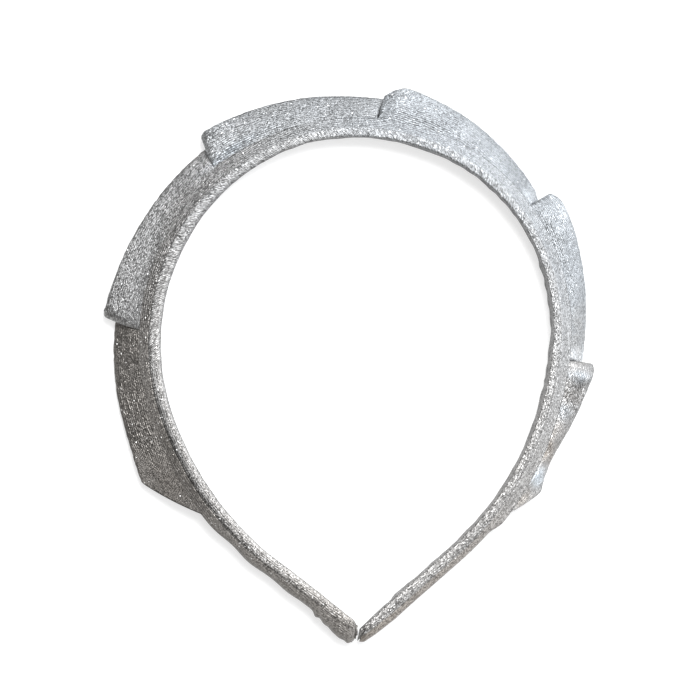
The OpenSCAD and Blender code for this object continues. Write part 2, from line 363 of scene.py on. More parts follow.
def glitter_knit(name, yarn, thread, line=0.10, speck=0.54, tilt=0.40, rough=0.40, turned=(),
                 wale=0.65, course=0.40, spark=0.004):
    """Fine knit with metallic thread, in the cloth's own map. Wales are sine waves of brightness and height
    across the cloth, courses weaker waves along it, half a step lower in every second wale. Each leg of a
    stitch has its own brightness, roughness and random tilt, as a small facet, and a few legs, in clusters,
    carry painted glints, half way to white. The yarn's colour goes over to the thread's as the sum of the
    waves, the legs' brightness and three sizes of smooth noise rises. The attribute Shade multiplies in its
    painted light and shade and sets the contrast. In the stretches named in turned, from and to along the
    cloth, the wales run aslant across it."""
    f = Finish(name)
    place = f.out(f.node("ShaderNodeUVMap", {"uv_map": "Cloth"}))
    shade = f.node("ShaderNodeAttribute", {"attribute_name": "Shade", "attribute_type": "GEOMETRY"})
    contrast = f.out(shade, 3)
    shift = (f.noise(place, 2.0, 1.0) - 0.5) * 0.8
    parts = f.node("ShaderNodeSeparateXYZ", Vector=place)
    u, v = f.out(parts, 0) * 10, f.out(parts, 1) * 10
    a, b = v, u
    for begin, end in turned:
        here = (u > begin) * (1 - (u > end))
        a = a + (u * TURNED_ALONG[0] + v * TURNED_ALONG[1] - v) * here
        b = b + (v * TURNED_ACROSS - u) * here
    a, b = (a + shift) / wale, (b + shift) / course
    b = b + (a.floor() * 0.5).fraction()
    leg = f.node("ShaderNodeCombineXYZ", X=(a * 2).floor(), Y=b.floor())
    chance = f.node("ShaderNodeTexWhiteNoise", {"noise_dimensions": "2D"}, Vector=f.out(leg))
    chances = f.node("ShaderNodeSeparateColor", Color=f.out(chance, 1))
    brightness, luck, polish = f.out(chance), f.out(chances, 0), f.out(chances, 1)
    wave = ((a - 0.25) * TURN).sin() + ((b - 0.25) * TURN).sin() * 0.45
    grain = f.noise(place, 42.0, 3.0)
    cloud = f.noise(place, 1.3, 3.0)
    clump = f.noise(place, 9.0, 2.0) - 0.5
    thready = wave * line + (brightness - 0.5) * speck * 2 + (grain - 0.5) * 0.8 + (cloud - 0.5) * 0.5
    thready = thready + clump * 0.6
    body = f.colour_mix(yarn, thread, (thready * contrast + 0.5).clamp())
    # The attribute Shade multiplies in the painted light and shade
    body = f.colour_mix(body, f.out(shade), 1.0, "MULTIPLY")
    # Painted glints: a few legs, more of them in clusters and where the contrast is high, half way to white
    painted_glints = luck > 1 - contrast * contrast * spark * (clump * 8 + 1)
    body = f.colour_mix(body, grey(1.0), painted_glints * 0.5)
    rise = f.node("ShaderNodeBump", Strength=0.5, Distance=0.0003, Height=wave * 0.22 + grain)
    centred = f.vector_math("SUBTRACT", f.out(chance, 1), (0.5, 0.5, 0.5))
    leaned = f.vector_math("SCALE", centred, scale=contrast * tilt)
    facet = f.vector_math("NORMALIZE", f.vector_math("ADD", f.out(rise), leaned))
    shader = f.node("ShaderNodeBsdfPrincipled", None, Base_Color=body, Metallic=0.9,
                    Roughness=rough + (0.5 - polish) * 0.2, Normal=facet)
    f.node("ShaderNodeOutputMaterial", None, Surface=f.out(shader))
    return f.material


# Band

# distance from the tip in band heights, width, height
LEFT_TIP = np.array([
    [0.00, 0.72, 0.80],
    [0.08, 0.92, 0.93],
    [0.25, 1.02, 1.00],
    [1.30, 1.06, 1.00],
    [1.60, 1.00, 1.00],
])
RIGHT_TIP = np.array([
    [0.00, 0.55, 0.72],
    [0.10, 0.76, 0.90],
    [0.60, 0.90, 0.98],
    [1.40, 1.03, 1.00],
])
GROOVE_TOP = BAND_HEIGHT - ROLL_HEIGHT
BODY_TOP = GROOVE_TOP - GROOVE_DEPTH / 2
LAP_TOP = BODY_TOP - GROOVE_DEPTH / 2
TIP_PART = 3.0  # length of each tip that is pulled out or ragged
LEFT_LONGER = 1.0  # by how much the left tip is pulled out
RIGHT_LONGER = 0.9
RAGGED = 0.8  # depth of the left tip's uneven end

# place along the hoop, then swell of the whole inner side, of its foot, of the roll's inner shoulder and of
# its outer shoulder
SWELL = np.array([
    [-1.00, 0.25, 0.00, 0.00, 0.3],
    [-0.80, 0.28, 0.10, 0.00, 0.7],
    [-0.62, 0.50, 0.20, 0.00, 0.8],
    [-0.30, 0.48, 0.30, 0.00, 0.7],
    [-0.20, 0.30, 0.20, 0.00, 0.2],
    [-0.08, 0.10, -0.10, 0.30, 0.0],
    [0.00, 0.00, -0.45, 0.50, 0.0],
    [0.12, 0.00, -0.25, 0.65, 0.0],
    [0.20, -0.10, -0.40, 0.65, 0.0],
    [0.33, -0.10, -0.50, 0.40, 0.0],
    [0.40, 0.00, -0.25, 0.40, 0.0],
    [0.46, 0.00, 0.10, 0.40, 0.0],
    [0.70, 0.00, 0.25, 0.35, 0.0],
    [0.80, 0.30, 0.00, 0.10, 0.2],
    [1.00, 0.40, 0.00, 0.00, 0.2],
])
INNER_SWELL, FOOT_SWELL, INNER_SHOULDER, OUTER_SHOULDER = range(1, 5)
# lumps of the bunched cover on the inner wall: length along, height, half length, size
LUMPS = (
    (-20.0, 2.0, 2.0, 0.3),
    (12.0, 2.0, 2.5, 0.3),
    (33.0, 2.0, 2.0, 0.25),
    (47.0, 2.0, 1.2, 0.25),
    (58.0, 2.0, 1.6, 0.25),
    (76.5, 1.6, 1.4, 0.5),
    (82.5, 1.6, 1.5, 0.35),
    (88.0, 1.6, 2.0, 0.3),
    (97.0, 1.6, 1.6, -0.3),
    (104.0, 1.6, 2.4, 0.45),
    (109.0, 1.6, 2.2, 0.4),
    (112.9, 1.6, 0.8, 0.35),
    (119.0, 1.6, 3.0, 0.25),
)
# nubs of the left tip's outer side, in the same order
NUBS = (
    (-207.6, 4.0, 0.7, 0.6),
    (-204.5, 2.0, 2.4, 0.9),
    (-200.0, 3.0, 1.5, 0.5),
    (-197.0, 2.5, 0.8, 0.9),
    (-186.0, 3.0, 4.0, 0.4),
    (-171.0, 3.0, 5.0, 0.6),
)
LUMP_HALF_HEIGHT = 1.6

# place along the hoop, level, warmth and contrast of the cover's colour; the levels and warmths are painted
# light, shade and tint of reflected light
BAND_SHADE = np.array([
    [-1.00, 0.62, 0.12, 1.00],
    [-0.85, 0.80, 0.07, 1.10],
    [-0.72, 0.68, 0.06, 1.00],
    [-0.60, 0.65, 0.05, 0.90],
    [-0.48, 0.64, 0.04, 0.85],
    [-0.39, 0.60, 0.03, 0.95],
    [-0.32, 0.50, 0.02, 1.20],
    [-0.24, 0.53, 0.00, 1.20],
    [-0.16, 0.50, 0.00, 1.20],
    [-0.10, 0.56, 0.00, 1.20],
    [0.00, 0.62, -0.04, 1.20],
    [0.20, 0.62, -0.05, 1.10],
    [0.35, 0.64, -0.02, 1.10],
    [0.55, 0.64, 0.03, 1.10],
    [0.70, 0.57, 0.05, 1.20],
    [1.00, 0.60, 0.05, 1.20],
])
# place along the hoop, painted shade on the roll's outer side
ROLL_SIDE_SHADE = np.array([
    [-1.00, 0.30],
    [-0.75, 0.72],
    [-0.62, 0.80],
    [-0.54, 0.65],
    [-0.47, 0.35],
    [-0.38, 0.25],
    [-0.25, 0.00],
])


def tip_shares(along):
    """Width and height of the section near a tip, and how far its outer side runs ahead."""
    left = along < 0
    share = np.where(left, HALF_LEFT + along, HALF_RIGHT - along) / BAND_HEIGHT
    wide, high = (np.where(left, table_at(LEFT_TIP, share, c), table_at(RIGHT_TIP, share, c))
                  for c in (1, 2))
    cut = np.where(left, -LEFT_CUT, RIGHT_CUT) * np.maximum(0, 1 - share / 2)
    return wide, high, cut


def banded(along, out, up):
    """A point of the band's section, narrowed and cut aslant at the tips."""
    wide, high, cut = tip_shares(along)
    return hoop_point(along + cut * out / BAND_THICK, out * wide, up * high)


def band_outline(count):
    """The band's section: round foot, half an ellipse for the roll, groove under it, round outer edges."""
    groove_edge = BAND_THICK - GROOVE_DEPTH / 2
    return resampled(np.concatenate([
        arc(BAND_ROUND, BAND_ROUND, BAND_ROUND, BAND_ROUND, 270, 180),
        arc(ROLL_WIDTH / 2, GROOVE_TOP, ROLL_WIDTH / 2, ROLL_HEIGHT, 180, 0, 40),
        [[ROLL_WIDTH - GROOVE_DEPTH, BODY_TOP]],
        arc(groove_edge, BODY_TOP - GROOVE_DEPTH, GROOVE_DEPTH / 2, GROOVE_DEPTH / 2, 90, 0, 8),
        arc(BAND_THICK - BAND_ROUND, BAND_ROUND, BAND_ROUND, BAND_ROUND, 0, -90)]), count)


def tips_pulled(u, out, up):
    """How far each point near a tip is moved along the hoop: both tips longer, the left one ragged."""
    left = np.clip((TIP_PART - HALF_LEFT - u) / TIP_PART, 0, 1)
    right = np.clip((u - HALF_RIGHT + TIP_PART) / TIP_PART, 0, 1)
    ragged = RAGGED * left * soft_noise(2.5 * out, 2.5 * up, 2.0, 51)
    return ragged + RIGHT_LONGER * right - LEFT_LONGER * left


def on_roll(up):
    """0 below the roll to 1 on it."""
    return np.clip((up - GROOVE_TOP + 0.5) / 1.2, 0, 1)


def band_push(u, out, up):
    """How far the cover stands proud of the plain section: random stuffing of the roll, calm where the
    lapped edge lies on it; the swell of the inner side and of the roll's two shoulders, as bells across the
    section; random bunches and lumps on the inner wall, fading upwards; and the left tip's nubs."""
    roll = on_roll(up)
    wall = bell(out / 0.6) * np.clip(1.3 - up / 5.5, 0, 1)
    swell, foot, square, outer = (table_at(SWELL, share_of(u), c)
                                  for c in (INNER_SWELL, FOOT_SWELL, INNER_SHOULDER, OUTER_SHOULDER))
    push = roll * 0.12 * soft_noise(u, out, 5.0, 5) + 0.06 * soft_noise(u, up, 2.2, 6)
    push = push * mix(1, np.clip((2.7 + outer - out) / 0.8, 0, 1), roll)
    push = push + np.clip(1 - out / 1.6, 0, 1) * swell
    push = push + roll * (square * bell((out - 0.3) / 0.45) + outer * bell((out - 3.1) / 0.7))
    push = push + wall * (foot + 0.16 * soft_noise(u, up, 6.5, 7) + 0.12 * soft_noise(u, up, 2.6, 8))
    for where, lumps in ((wall, LUMPS), (np.clip((out - 2.4) / 1.0, 0, 1), NUBS)):
        for at, high, long, size in lumps:
            push = push + where * size * bell((u - at) / long) * bell((up - high) / LUMP_HALF_HEIGHT)
    return push


def band_rings(count, ring):
    """The band's section carried along the hoop, pushed along its own normals, and kept above the floor.
    Its colour follows the painted light and shade of BAND_SHADE, with painted shade, darker and livelier,
    towards the roll's outer side."""
    outline = band_outline(ring)
    along = np.linspace(-HALF_LEFT, HALF_RIGHT, count)
    u, out = np.meshgrid(along, outline[:, 0], indexing="ij")
    up = np.broadcast_to(outline[:, 1], u.shape)
    p = banded(u + tips_pulled(u, out, up), out, up)
    p = p + ring_normals(p) * band_push(u, out, up)[..., None]
    p[..., 2] = np.maximum(p[..., 2], 0.0)
    # Painted shade on the roll's outer side: darker, and with more contrast
    side_shading = np.clip((out - 1.0) / 1.8, 0, 1) * on_roll(up) * table_at(ROLL_SIDE_SHADE, share_of(u))
    darker = np.stack([1 - side_shading, 1 - side_shading, 1 - side_shading, 1 + 0.4 * side_shading], -1)
    return p, along, ring // 3, shades(share_of(u), BAND_SHADE) * darker


# Crown

LAP_LOW = LAP_TOP - LAP_WIDTH
FOLD_RADIUS = (CLOTH_THICK + FOLD_GAP) / 2
LOW_LAYER = CROWN_CLEAR + CLOTH_THICK / 2
TOP_LAYER = LOW_LAYER + 4 * FOLD_RADIUS
CROWN_ROOT = BAND_THICK + SEAT_GAP
ROOT_SHARE = (LAP_LOW - SEAT_GAP - CROWN_CLEAR) / (TOP_LAYER + CLOTH_THICK / 2 - CROWN_CLEAR)
ROUND_LENGTH = 0.4 * CROWN_REACH  # of a pleat's rounded corner

# The pleats, from the left: place along the hoop, share of the reach at the fold and at the end, slant
# ahead per unit of reach, share of the reach that the rounded corner takes, share of the stack's height,
# power of the fall of the reach, radius of the quarter circle at the fold, share pressed down at the free
# edge and the length of that, and how much shorter the pleat gets just before the next one
AT, START, END, SLANT, ROUND, LIFT, BOW, CURVE, DROOP, DROOP_LENGTH, TAPER = range(11)
PLEATS = np.array([
    [-0.698, 0.84, 0.61, 1.65, 0.00, 0.55, 1.35, 1.0, 0.00, 1.0, 0.0],
    [-0.453, 0.93, 0.635, 0.29, 0.02, 1.00, 2.0, 1.0, 0.16, 3.0, 0.0],
    [-0.208, 0.98, 0.67, 0.33, 0.02, 1.00, 2.1, 1.6, 0.22, 3.4, 0.0],
    [0.032, 0.99, 0.50, 0.25, 0.12, 1.00, 1.0, 4.0, 0.55, 8.0, 0.9],
    [0.278, 0.88, 0.54, 0.12, 0.03, 1.00, 1.5, 3.2, 0.65, 8.0, 0.0],
    [0.498, 0.82, 0.42, 0.00, 0.00, 1.00, 1.4, 2.2, 0.65, 5.0, 0.0],
])
END_PLACE = 0.720  # of the crown's cut end along the hoop
END_REACH = 0.56  # share of the tallest
END_SLANT = -2.0
END_LIFT = 0.25  # share of the stack's height
END_ROUND = 1.3  # length of its rounded corner
END_DROP = 0.8  # reach that the corner loses
FLARE_START = 0.66  # share of the last pleat after which it widens again
END_SLANT_FROM = 0.35  # share of the last pleat after which its slant changes
TAPER_LENGTH = 3.0  # along which a pleat gets shorter before the next one
FIRST_SOONER = 2.2  # how much sooner than the others the first pleat takes on the next one's slant
SMOOTH_PART = 12  # a pleat's wrinkles fade out over this part of its run
PRESSED_PAST = 1.0  # length past the next fold at which a pleat's root is fully pressed
PRESSED_OVER = 1.6  # length over which that comes about
# place along the hoop, width of the rise out of the root
RISE = np.array([[-1.0, 1.2], [-0.235, 1.2], [-0.205, 2.4], [-0.17, 1.6], [-0.12, 1.3], [1.0, 1.3]])
# share of the free width, share of the height
ACROSS = np.array([[0.00, 0.94], [0.10, 0.97], [0.25, 1.00], [0.50, 0.96], [0.80, 0.87], [1.00, 0.80]])
ROOT_EDGE = 0.88  # width of the part under the lapped edge
ROOT_HOLD = 0.93  # share of the way to the top layer that the root of a single layer stays up
ROOT_PRESS = 0.45  # the same where layers lie on each other
ROOT_THIN = 0.62  # share of the cloth's thickness
RISE_SHARE = 0.2  # share of the section's points that the root and its rise take
RISE_POINTS = 9  # number of those points, the last one on the ridge
RISE_POWER = 2.5
EDGE_ROUND = 0.8  # width of the free edge's rounding
CREASE_FROM = 0.9  # distance from the root at which wrinkles begin
CREASE_FADE = 1.5
PLACES = [along_at(p) for p in PLEATS[:, AT]] + [along_at(END_PLACE)]
LAST = len(PLEATS) - 1

# For each pleat: level, warmth and contrast, whose levels and warmths are painted light, shade and tint of
# reflected light; painted shade on its free edge; painted light on its fold's face; the level of painted
# light and shade on the front beyond that and its length; painted light on the pleat's end and its length
CROWN_SHADE = np.array([
    [0.27, 0.13, 0.90, 0.00, 1.0, 1.00, 1.0, 1.15, 8.0],
    [0.40, 0.01, 1.05, 0.10, 1.3, 1.50, 2.2, 1.10, 8.0],
    [0.43, -0.05, 1.00, 0.12, 1.5, 0.90, 2.4, 1.40, 7.0],
    [0.60, -0.09, 0.80, 0.05, 1.7, 0.55, 5.0, 1.90, 7.0],
    [0.74, -0.09, 0.70, 0.00, 1.0, 0.78, 4.5, 1.80, 6.0],
    [0.74, 0.02, 0.70, 0.12, 1.0, 0.68, 3.0, 1.00, 1.0],
])
# Patches of painted light, shade, highlights and tints of reflected light on the crown: length along,
# distance out, half sizes along and out, level, warmth and contrast
PATCHES = (
    (-139.0, 8.0, 9.0, 6.0, 0.82, 0.04, 1.0),
    (-125.0, 9.0, 4.0, 2.5, 1.10, 0.0, 2.2),
    (-112.0, 9.0, 8.0, 2.5, 1.16, 0.0, 1.0),
    (-78.0, 6.2, 15.0, 1.7, 0.70, 0.02, 1.0),
    (-58.0, 7.0, 10.0, 2.4, 0.84, 0.02, 1.0),
    (-38.0, 10.0, 7.0, 4.0, 1.30, 0.0, 1.0),
    (-38.0, 8.0, 9.0, 1.2, 1.10, -0.08, 1.0),
    (-29.0, 13.5, 12.0, 2.2, 0.90, 0.02, 1.0),
    (46.0, 10.0, 12.0, 6.0, 1.10, 0.0, 1.0),
    (63.0, 9.5, 4.5, 5.0, 0.80, 0.0, 1.3),
    (99.0, 9.0, 9.0, 5.0, 1.05, 0.08, 1.2),
    (110.0, 9.5, 1.8, 4.0, 0.98, -0.14, 1.0),
    (115.5, 9.6, 2.8, 3.4, 0.64, 0.04, 3.6),
    (121.0, 7.5, 2.6, 2.6, 1.10, -0.12, 1.2),
    (133.0, 7.2, 2.4, 1.8, 0.86, 0.14, 1.7),
    (134.0, 7.0, 14.0, 5.0, 1.02, 0.08, 1.2),
    (136.5, 4.5, 3.0, 1.2, 0.96, 0.12, 1.3),
    (141.2, 7.8, 2.8, 2.3, 2.05, -0.22, 1.6),
    (149.0, 6.0, 3.5, 4.0, 1.0, 0.08, 1.4),
)
# Dents and, below 0, swellings of the visible cloth: length along, distance out, half sizes along and out,
# depth
DENTS = (
    (-115.0, 9.5, 10.0, 2.2, 0.30),
    (-70.0, 9.5, 9.0, 2.0, 0.30),
    (-29.5, 6.7, 7.0, 1.2, 0.15),
    (-9.9, 8.8, 2.2, 4.0, 0.35),
    (28.9, 9.8, 2.2, 4.0, 0.35),
    (40.9, 6.9, 1.6, 3.0, 0.30),
    (53.1, 8.1, 1.8, 3.0, 0.30),
    (81.9, 7.1, 3.0, 2.0, 0.35),
    (88.8, 6.6, 2.5, 1.6, 0.30),
    (113.8, 11.0, 2.6, 3.4, 1.10),
    (120.5, 7.5, 2.4, 2.4, -0.12),
    (133.7, 7.4, 2.6, 2.2, 0.40),
    (141.6, 8.5, 2.2, 2.2, -0.45),
)
# Size, height and seed of the cloth's random waves
WAVES = ((7.0, 0.16, 21), (2.6, 0.07, 22), (0.95, 0.04, 23))


def lip_centre(k):
    """Middle of the fold that shows at the start of pleat k."""
    return PLACES[k] + CLOTH_THICK / 2 + FOLD_RADIUS


def corner(k, along):
    """Share of the reach that the rounded corner of pleat k leaves."""
    return 1 - PLEATS[k, ROUND] * (1 - ease((along - PLACES[k]) / ROUND_LENGTH))


def quarter_round(past):
    """How far a quarter circle of radius 1 lies below its top, at a share of the way up to it."""
    return 1 - np.sqrt(1 - (1 - np.clip(past, 0, 1)) ** 2)


def reach_at(k, along, share):
    """Reach of pleat k: its share of the tallest, less the rounded corner and the fold's quarter circle."""
    past = (along - PLACES[k]) / PLEATS[k, CURVE]
    return CROWN_REACH * corner(k, along) * share - PLEATS[k, CURVE] * quarter_round(past)


def droop(k, along):
    """How far the layers at the fold of pleat k are pressed down at the free edge, as a share of their
    height."""
    return PLEATS[k, DROOP] * (1 - ease((along - PLACES[k]) / PLEATS[k, DROOP_LENGTH]))


def lifted(share):
    """Height of the middle of the cloth between the lowest and the top layer."""
    return mix(LOW_LAYER, TOP_LAYER, share)


def root_rise(height, hold):
    """Rise of the root over its place in the stack: hold is 0 where layers lie on each other and are
    pressed together, and 1 where one layer is alone and its root stays up."""
    return mix(ROOT_PRESS, ROOT_HOLD, hold) * (TOP_LAYER - height)


def line_part(k, along, height, reach, slant, rise, free):
    """Part of the strip's middle line as columns: length along, height, reach, slant, rise of the root, how
    far the cloth is free to show wrinkles, and the droop of its free edge."""
    columns = (along, height, reach, slant, rise, free, droop(k, along))
    return np.stack(np.broadcast_arrays(*columns), -1)


def pleat_run(k, step):
    """The run of pleat k that shows, sinking from its fold to the lowest layer and on under the next."""
    row, following = PLEATS[k], PLEATS[k + 1]
    begin = PLACES[0] if k == 0 else lip_centre(k)
    under = PLACES[k + 1] - FOLD_RADIUS
    stop = lip_centre(k + 1) + TUCK
    along = np.linspace(begin, stop, int((stop - begin) / step))
    sunk = np.minimum(1, (along - begin) / (under - begin))
    height = mix(lifted(row[LIFT]), LOW_LAYER, ease(sunk))
    reach = reach_at(k, along, mix(row[END], row[START], (1 - sunk) ** row[BOW]))
    reach = reach - row[TAPER] * ease(1 - (PLACES[k + 1] - along) / TAPER_LENGTH)
    slant = mix(row[SLANT], following[SLANT], ease(sunk * (FIRST_SOONER if k == 0 else 1)))
    rise = root_rise(height, ease((PLACES[k + 1] + PRESSED_PAST - along) / PRESSED_OVER))
    return line_part(k, along, height, reach, slant, rise, ease((1 - sunk) * SMOOTH_PART))


def pleat_last(step):
    """The last pleat, which narrows, then widens to the crown's cut end with its rounded corner."""
    row, begin, stop = PLEATS[LAST], lip_centre(LAST), PLACES[LAST + 1]
    along = np.linspace(begin, stop, int((stop - begin) / step))
    t = (along - begin) / (stop - begin)
    flare = np.maximum(0, (t - FLARE_START) / (1 - FLARE_START)) ** 2
    height = lifted(mix(row[LIFT], END_LIFT, ease(t)))
    share = mix(row[END], row[START], np.maximum(0, 1 - t / FLARE_START) ** row[BOW])
    share = share + (END_REACH - row[END]) * flare
    reach = reach_at(LAST, along, share) - END_DROP * quarter_round((stop - along) / END_ROUND)
    slant = mix(row[SLANT], END_SLANT, ease((t - END_SLANT_FROM) / (1 - END_SLANT_FROM)))
    return line_part(LAST, along, height, reach, slant, root_rise(height, 1.0), 1.0)


def far_fold(k, count):
    """Half a turn of the cloth, hidden where the run before pleat k ends, from its layer up to the next."""
    a = np.radians(np.linspace(-90, 90, count + 2)[1:-1])
    along = lip_centre(k) + TUCK + FOLD_RADIUS * np.cos(a)
    height = LOW_LAYER + FOLD_RADIUS + FOLD_RADIUS * np.sin(a)
    reach = reach_at(k, along, PLEATS[k - 1, END])
    return line_part(k, along, height, reach, PLEATS[k, SLANT], root_rise(height, 0), 0)


def back_layer(k, count):
    """The layer under pleat k, running back from the far fold towards the fold that shows."""
    t = np.linspace(0, 1, count)
    along = lip_centre(k) + TUCK * (1 - t)
    height = LOW_LAYER + 2 * FOLD_RADIUS
    reach = reach_at(k, along, mix(PLEATS[k - 1, END], PLEATS[k, START], t))
    return line_part(k, along, height, reach, PLEATS[k, SLANT], root_rise(height, 0), 0)


def near_fold(k, count):
    """Half a turn of the cloth up to the top layer, at the fold of pleat k that shows. Its root is held up
    from half way round, and its wrinkles set in a little before that."""
    a = np.radians(np.linspace(-90, 90, count + 2)[1:-1])
    along = lip_centre(k) - FOLD_RADIUS * np.cos(a)
    height = LOW_LAYER + 3 * FOLD_RADIUS + FOLD_RADIUS * np.sin(a)
    reach = reach_at(k, along, PLEATS[k, START])
    rise = root_rise(height, ease(a / 1.57 + 1))
    return line_part(k, along, height, reach, PLEATS[k, SLANT], rise, ease((a + 0.6) / 1.6))


def crown_line(step):
    """The strip's middle line from end to end, with the number of the pleat, halves where the cloth is
    hidden, as a last column."""
    parts = []
    for k in range(LAST):
        parts.append((k, pleat_run(k, step)))
        parts.append((k + 0.5, far_fold(k + 1, 9)))
        parts.append((k + 0.5, back_layer(k + 1, 14)))
        parts.append((k + 1, near_fold(k + 1, 15)))
    parts.append((LAST, pleat_last(step)))
    return np.concatenate([np.append(part, np.full((len(part), 1), k), 1) for k, part in parts])


def wrinkles(along, out):
    """Height of the cloth's soft unevenness: the dents as bells, and three sizes of smooth random waves."""
    height = 0
    for at, far, long, wide, deep in DENTS:
        height = height - deep * bell((along - at) / long) * bell((out - far) / wide)
    for size, amount, seed in WAVES:
        height = height + amount * soft_noise(along, out, size, seed)
    return height


def patched(along, out):
    """Colour and contrast of the crown's patches of painted light and shade, as factors."""
    factor = np.ones((*along.shape, 4))
    for at, far, long, wide, level, warm, contrast in PATCHES:
        here = bell((along - at) / long) * bell((out - far) / wide)
        here = here * (1 + 0.5 * soft_noise(along, out, 1.6, 41))
        ends = np.array([level * (1 + warm / 2), level, level * (1 - warm / 2), contrast])
        factor *= mix(1, ends, np.clip(here, 0, 1)[..., None])
    return factor


def shares_across(count):
    """Places of the section's points, from 0 at the root to 1 at the free edge: those of the root and its
    rise, then evenly on, and closer at the rounded edge."""
    in_root = np.linspace(0, RISE_SHARE, RISE_POINTS)
    q = np.concatenate([in_root, np.linspace(RISE_SHARE, 1, count - RISE_POINTS + 1)[1:]])
    return np.concatenate([q[:-1], 1 - (1 - q[-2]) * np.linspace(0.75, 0, 4) ** 1.6])


def crown_shade(pleat, along, ahead, distance, reach):
    """Colour and contrast of the crown, painted light and shade: each pleat's level and tint, the patches,
    painted shade on the free edge, and the levels of painted light on its fold's face, of painted light and
    shade on the front beyond it and of painted light on its end, each eased over its length."""
    table = np.column_stack([np.arange(len(CROWN_SHADE)), CROWN_SHADE])
    shade = shades(np.broadcast_to(pleat, distance.shape), table)
    shade = shade * patched(along + ahead, CROWN_ROOT + distance)
    rim_shade, face, front, long, end, last = (table_at(table, pleat, c) for c in range(4, 10))
    past = along - np.interp(pleat, table[:, 0], PLACES[:-1])
    left = np.interp(pleat, table[:, 0], PLACES[1:]) - along
    # Painted shade on the free edge, painted light on the fold's face, painted light and shade on the
    # front, painted light on the pleat's end
    painted_light = (1 - rim_shade * bell((reach - distance) / 1.2)) * mix(face, 1, ease((past - 0.9) / 0.8))
    painted_light = painted_light * mix(front, 1, ease((past - 0.2) / long)) * mix(end, 1, ease(left / last))
    shade[..., :3] *= painted_light[..., None]
    return shade


def crown_rings(step, wide):
    """The strip's section across the hoop carried along its middle line: pressed flat under the lap, up
    over a soft ridge, then falling to a rounded free edge. Both faces are half the cloth's thickness away.
    Gives what ring_mesh takes, then the lengths along and heights of the points on the ridge and of the
    next ones out."""
    line = crown_line(step)
    tangent = np.gradient(line[:, :2], axis=0)
    normal = np.stack([-tangent[:, 1], tangent[:, 0]], -1)
    normal /= np.linalg.norm(normal, axis=1, keepdims=True)
    along, height, reach, slant, rise, free, down, pleat = (line[:, c][:, None] for c in range(8))
    reach = reach + 0.10 * soft_noise(along, 3 * pleat, 1.1, 24)
    ridge = ROOT_EDGE + table_at(RISE, share_of(along))
    q = shares_across(wide)
    in_root = q <= RISE_SHARE
    beyond = np.clip((q - RISE_SHARE) / (1 - RISE_SHARE), 0, 1)
    distance = np.where(in_root, ridge * q / RISE_SHARE, ridge + (reach - ridge) * beyond)
    climb = 1 - (1 - np.clip((distance - ROOT_EDGE) / (ridge - ROOT_EDGE), 0, 1)) ** RISE_POWER
    share = np.where(in_root, mix(ROOT_SHARE, ACROSS[0, 1], climb), table_at(ACROSS, beyond))
    edge = np.clip((reach - distance) / EDGE_ROUND, 0, 1)
    rounded = np.sqrt(np.maximum(0.0, 1 - (1 - edge) ** 2)) * 0.95 + 0.05
    thick = rounded * mix(ROOT_THIN, 1, ease(beyond * 2))
    ahead = slant * (distance - reach / 2)
    crease = wrinkles(along, CROWN_ROOT + distance) * free
    crease = crease * np.clip((distance - ROOT_EDGE - CREASE_FROM) / CREASE_FADE, 0, 1)
    faces, ridges = [], []
    for side in (1, -1):
        off = side * CLOTH_THICK / 2 * thick
        up = LOW_LAYER + (height - LOW_LAYER) * (1 - down * beyond)
        up = up + off * normal[:, 1:2] * (1 - down * beyond / 2)
        up = mix(CROWN_CLEAR, up, share) + rise * np.where(in_root, climb, 1 - beyond) + crease
        place = along + off * normal[:, 0:1] + ahead
        faces.append(hoop_point(place, CROWN_ROOT + distance, np.maximum(up, 0.05)))
        ridges.append(np.stack([place, up])[..., RISE_POINTS - 1:RISE_POINTS + 1])
    rings = np.concatenate([faces[1][:, ::-1], faces[0]], 1)
    length = np.concatenate([[0], np.cumsum(np.linalg.norm(np.diff(line[:, :2], axis=0), axis=1))])
    shade = crown_shade(pleat, along, ahead, distance, reach)
    shade = np.concatenate([shade[:, ::-1], shade], 1)
    map_origin = wide * 2 - 9  # on the upper face
    return (rings, length, map_origin, shade), np.concatenate(ridges, 1)


# Lapped edge

# The lapped edge's outline, from its inner lower corner over the top to where it leaves the roll: out and
# up beside a wide roll, then out and up beside a narrow one
LAP_OUTLINE = np.array([
    [3.73, 3.85, 3.73, 3.85],
    [3.74, 4.60, 3.73, 4.60],
    [3.60, 5.30, 3.30, 5.75],
    [3.40, 5.80, 2.90, 6.05],
    [3.20, 6.30, 2.60, 6.42],
    [3.02, 6.80, 2.42, 6.80],
    [3.10, 6.98, 2.66, 6.80],
    [3.45, 6.88, 2.96, 6.69],
    [4.00, 6.50, 3.40, 6.42],
])
# The outer half of the outline on the bare arms
BARE_OUTLINE = np.array([
    [4.26, 6.00],
    [4.52, 5.72],
    [4.66, 5.40],
    [4.78, 5.05],
    [4.84, 4.65],
    [4.84, 4.30],
    [4.76, 3.95],
    [4.60, 3.75],
    [4.30, 3.62],
])
# Its lower side beside the crown
LOW_OUTLINE = np.array([[5.0, 4.7], [4.74, 4.3], [4.6, 3.7]])
